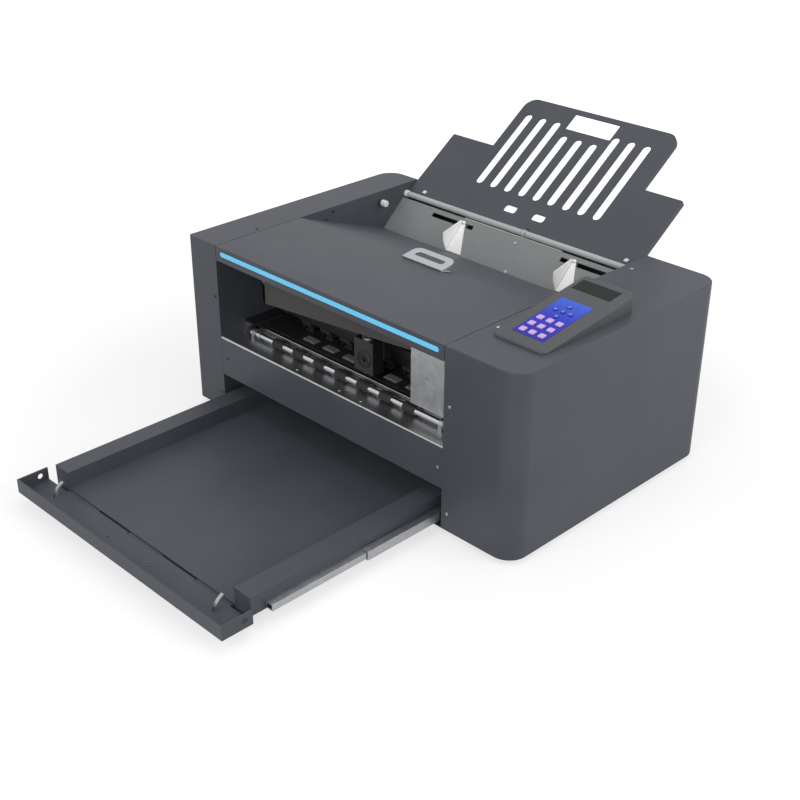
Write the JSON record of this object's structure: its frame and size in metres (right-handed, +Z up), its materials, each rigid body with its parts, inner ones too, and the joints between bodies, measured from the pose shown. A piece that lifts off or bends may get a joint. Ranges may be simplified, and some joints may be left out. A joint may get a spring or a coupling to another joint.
{
  "type": "sticker cutting machine",
  "caption": "Sheet-fed desktop sticker cutter in grey steel: hinged top cover, folding paper support, cutting gantry and pull-out tray.",
  "frame": {"origin": "on the floor under the middle of the bounding box, tray out and support up", "axes": "+X to the right seen from the front, +Y to the back, +Z up"},
  "size_m": [0.62, 0.9212, 0.3837],
  "materials": {
    "casing": "fine-textured powder coat",
    "pod_shell": "satin",
    "rubber": "matte",
    "polished_steel": "polished",
    "zinc_steel": "zinc plated",
    "satin_aluminium": "satin",
    "anodised_black": "black anodised",
    "motor_black": "satin",
    "feed_grey": "smooth satin",
    "guide_white": "smooth satin",
    "white_plastic": "matte",
    "black_plastic": "matte",
    "roller_rubber": "ground",
    "chrome_shaft": "polished",
    "circuit_board": "solder mask",
    "display": "clear",
    "keypad_blue": "gloss film",
    "key_white": "satin",
    "key_blue": "satin",
    "light_blue": "diffusing"
  },
  "bodies": {
    "chassis": {"base_pan": "casing", "rubber_feet": "rubber", "left_cover": "casing", "right_cover": "casing", "rear_panel": "casing", "front_bar": "casing", "chute_plate": "polished_steel", "platen_deck": "feed_grey", "gantry_beam": "anodised_black", "end_plate": "zinc_steel", "shaft_bearings": "zinc_steel", "stepper_motors": "motor_black", "feed_plate": "feed_grey", "timing_belts": "rubber", "pinch_arms": "black_plastic", "hinge_rod": "polished_steel", "hinge_clips": "white_plastic", "support_peg": "white_plastic", "slide_outer": "zinc_steel", "power_supply": "zinc_steel", "mainboard": "circuit_board", "power_inlet": "black_plastic", "control_pod": "pod_shell", "lcd_window": "display", "keypad_plate": "keypad_blue", "panel_screws": "polished_steel"},
    "cover": {"top_cover": "casing", "cover_handle": "satin_aluminium", "led_strip": "light_blue"},
    "support": {"paper_support": "casing"},
    "tray": {"tray_pan": "casing", "slide_inner": "zinc_steel"},
    "mid_slides": {"slide_mid": "zinc_steel"},
    "front": {"tray_front": "casing"},
    "left_guide": {"guide_left": "guide_white"},
    "right_guide": {"guide_right": "guide_white"},
    "pinion": {"guide_pinion": "white_plastic"},
    "delivery": {"delivery_shaft": "chrome_shaft"},
    "drive": {"drive_shaft": "chrome_shaft"},
    "pinch": {"pinch_rollers": "roller_rubber"},
    "feed": {"feed_roller": "roller_rubber"},
    "cutter": {"carriage": "anodised_black"},
    "blade": {"blade_holder": "satin_aluminium"},
    "pulley": {"drive_pulley": "satin_aluminium"},
    "idler": {"idler_pulley": "satin_aluminium"},
    "rocker": {"rocker_switch": "black_plastic"},
    "key_1_cap": {"key_1": "key_white"},
    "key_2_cap": {"key_2": "key_white"},
    "key_3_cap": {"key_3": "key_white"},
    "key_4_cap": {"key_4": "key_white"},
    "key_5_cap": {"key_5": "key_white"},
    "key_6_cap": {"key_6": "key_white"},
    "key_7_cap": {"key_7": "key_white"},
    "key_8_cap": {"key_8": "key_white"},
    "key_9_cap": {"key_9": "key_white"},
    "nav_up_cap": {"nav_up": "key_blue"},
    "nav_left_cap": {"nav_left": "key_blue"},
    "nav_ok_cap": {"nav_ok": "key_blue"},
    "nav_right_cap": {"nav_right": "key_blue"},
    "nav_down_cap": {"nav_down": "key_blue"}
  },
  "joints": [
    {"name": "cover_hinge", "type": "hinge", "parent": "chassis", "child": "cover", "pos_m": [0, 0.20744, 0.207], "axis": [-1, 0, 0], "range_deg": [0, 60]},
    {"name": "support_hinge", "type": "hinge", "parent": "chassis", "child": "support", "pos_m": [0, 0.26744, 0.251], "axis": [-1, 0, 0], "range_deg": [-136, 0]},
    {"name": "tray_slide", "type": "slide", "parent": "chassis", "child": "tray", "axis": [0, 1, 0], "range_m": [0, 0.2985]},
    {"name": "mid_slide", "type": "slide", "parent": "chassis", "child": "mid_slides", "axis": [0, 1, 0], "range_m": [0, 0.14925]},
    {"name": "front_hinge", "type": "hinge", "parent": "tray", "child": "front", "pos_m": [-0.029, -0.41256, 0.0165], "axis": [-1, 0, 0], "range_deg": [0, 90]},
    {"name": "left_guide_slide", "type": "slide", "parent": "chassis", "child": "left_guide", "axis": [1, 0, 0], "range_m": [-0.055, 0.015]},
    {"name": "right_guide_slide", "type": "slide", "parent": "chassis", "child": "right_guide", "axis": [1, 0, 0], "range_m": [-0.015, 0.055]},
    {"name": "pinion_turn", "type": "hinge", "parent": "chassis", "child": "pinion", "pos_m": [-0.01, 0.25664, 0.23465], "axis": [0, -0.682, 0.7314], "range_deg": [-100, 340]},
    {"name": "drive_turn", "type": "hinge", "parent": "chassis", "child": "drive", "pos_m": [-0.029, -0.01555, 0.133], "axis": [1, 0, 0], "continuous": true},
    {"name": "delivery_turn", "type": "hinge", "parent": "chassis", "child": "delivery", "pos_m": [-0.029, -0.07455, 0.133], "axis": [1, 0, 0], "continuous": true},
    {"name": "pinch_turn", "type": "hinge", "parent": "chassis", "child": "pinch", "pos_m": [-0.029, -0.01555, 0.1459], "axis": [1, 0, 0], "continuous": true},
    {"name": "feed_turn", "type": "hinge", "parent": "chassis", "child": "feed", "pos_m": [-0.029, 0.16468, 0.17638], "axis": [1, 0, 0], "continuous": true},
    {"name": "carriage_slide", "type": "slide", "parent": "chassis", "child": "cutter", "axis": [1, 0, 0], "range_m": [-0.2, 0.13]},
    {"name": "blade_drop", "type": "slide", "parent": "cutter", "child": "blade", "axis": [0, 0, 1], "range_m": [-0.0025, 0]},
    {"name": "pulley_turn", "type": "hinge", "parent": "chassis", "child": "pulley", "pos_m": [-0.222, -0.04156, 0.2055], "axis": [0, 1, 0], "range_deg": [-940, 1440]},
    {"name": "idler_turn", "type": "hinge", "parent": "chassis", "child": "idler", "pos_m": [0.164, -0.04156, 0.2055], "axis": [0, 1, 0], "range_deg": [-940, 1440]},
    {"name": "switch_rock", "type": "hinge", "parent": "chassis", "child": "rocker", "pos_m": [0.267, 0.28945, 0.05], "axis": [-1, 0, 0], "range_deg": [0, 16]},
    {"name": "key_1_press", "type": "slide", "parent": "chassis", "child": "key_1_cap", "axis": [0, -0.1391, 0.9903], "range_m": [-0.0008, 0], "stiffness_N_per_m": 250},
    {"name": "key_2_press", "type": "slide", "parent": "chassis", "child": "key_2_cap", "axis": [0, -0.1391, 0.9903], "range_m": [-0.0008, 0], "stiffness_N_per_m": 250},
    {"name": "key_3_press", "type": "slide", "parent": "chassis", "child": "key_3_cap", "axis": [0, -0.1391, 0.9903], "range_m": [-0.0008, 0], "stiffness_N_per_m": 250},
    {"name": "key_4_press", "type": "slide", "parent": "chassis", "child": "key_4_cap", "axis": [0, -0.1391, 0.9903], "range_m": [-0.0008, 0], "stiffness_N_per_m": 250},
    {"name": "key_5_press", "type": "slide", "parent": "chassis", "child": "key_5_cap", "axis": [0, -0.1391, 0.9903], "range_m": [-0.0008, 0], "stiffness_N_per_m": 250},
    {"name": "key_6_press", "type": "slide", "parent": "chassis", "child": "key_6_cap", "axis": [0, -0.1391, 0.9903], "range_m": [-0.0008, 0], "stiffness_N_per_m": 250},
    {"name": "key_7_press", "type": "slide", "parent": "chassis", "child": "key_7_cap", "axis": [0, -0.1391, 0.9903], "range_m": [-0.0008, 0], "stiffness_N_per_m": 250},
    {"name": "key_8_press", "type": "slide", "parent": "chassis", "child": "key_8_cap", "axis": [0, -0.1391, 0.9903], "range_m": [-0.0008, 0], "stiffness_N_per_m": 250},
    {"name": "key_9_press", "type": "slide", "parent": "chassis", "child": "key_9_cap", "axis": [0, -0.1391, 0.9903], "range_m": [-0.0008, 0], "stiffness_N_per_m": 250},
    {"name": "nav_up_press", "type": "slide", "parent": "chassis", "child": "nav_up_cap", "axis": [0, -0.1391, 0.9903], "range_m": [-0.0008, 0], "stiffness_N_per_m": 250},
    {"name": "nav_left_press", "type": "slide", "parent": "chassis", "child": "nav_left_cap", "axis": [0, -0.1391, 0.9903], "range_m": [-0.0008, 0], "stiffness_N_per_m": 250},
    {"name": "nav_ok_press", "type": "slide", "parent": "chassis", "child": "nav_ok_cap", "axis": [0, -0.1391, 0.9903], "range_m": [-0.0008, 0], "stiffness_N_per_m": 250},
    {"name": "nav_right_press", "type": "slide", "parent": "chassis", "child": "nav_right_cap", "axis": [0, -0.1391, 0.9903], "range_m": [-0.0008, 0], "stiffness_N_per_m": 250},
    {"name": "nav_down_press", "type": "slide", "parent": "chassis", "child": "nav_down_cap", "axis": [0, -0.1391, 0.9903], "range_m": [-0.0008, 0], "stiffness_N_per_m": 250}
  ],
  "couplings": [
    {"joint": "mid_slide", "follows": "tray_slide", "ratio": 0.5},
    {"joint": "right_guide_slide", "follows": "left_guide_slide", "ratio": -1},
    {"joint": "pinion_turn", "follows": "left_guide_slide", "rad_per_m": -104.17},
    {"joint": "delivery_turn", "follows": "drive_turn", "ratio": 1},
    {"joint": "pinch_turn", "follows": "drive_turn", "ratio": -1.7391},
    {"joint": "pulley_turn", "follows": "carriage_slide", "rad_per_m": -125},
    {"joint": "idler_turn", "follows": "carriage_slide", "rad_per_m": -125}
  ]
}
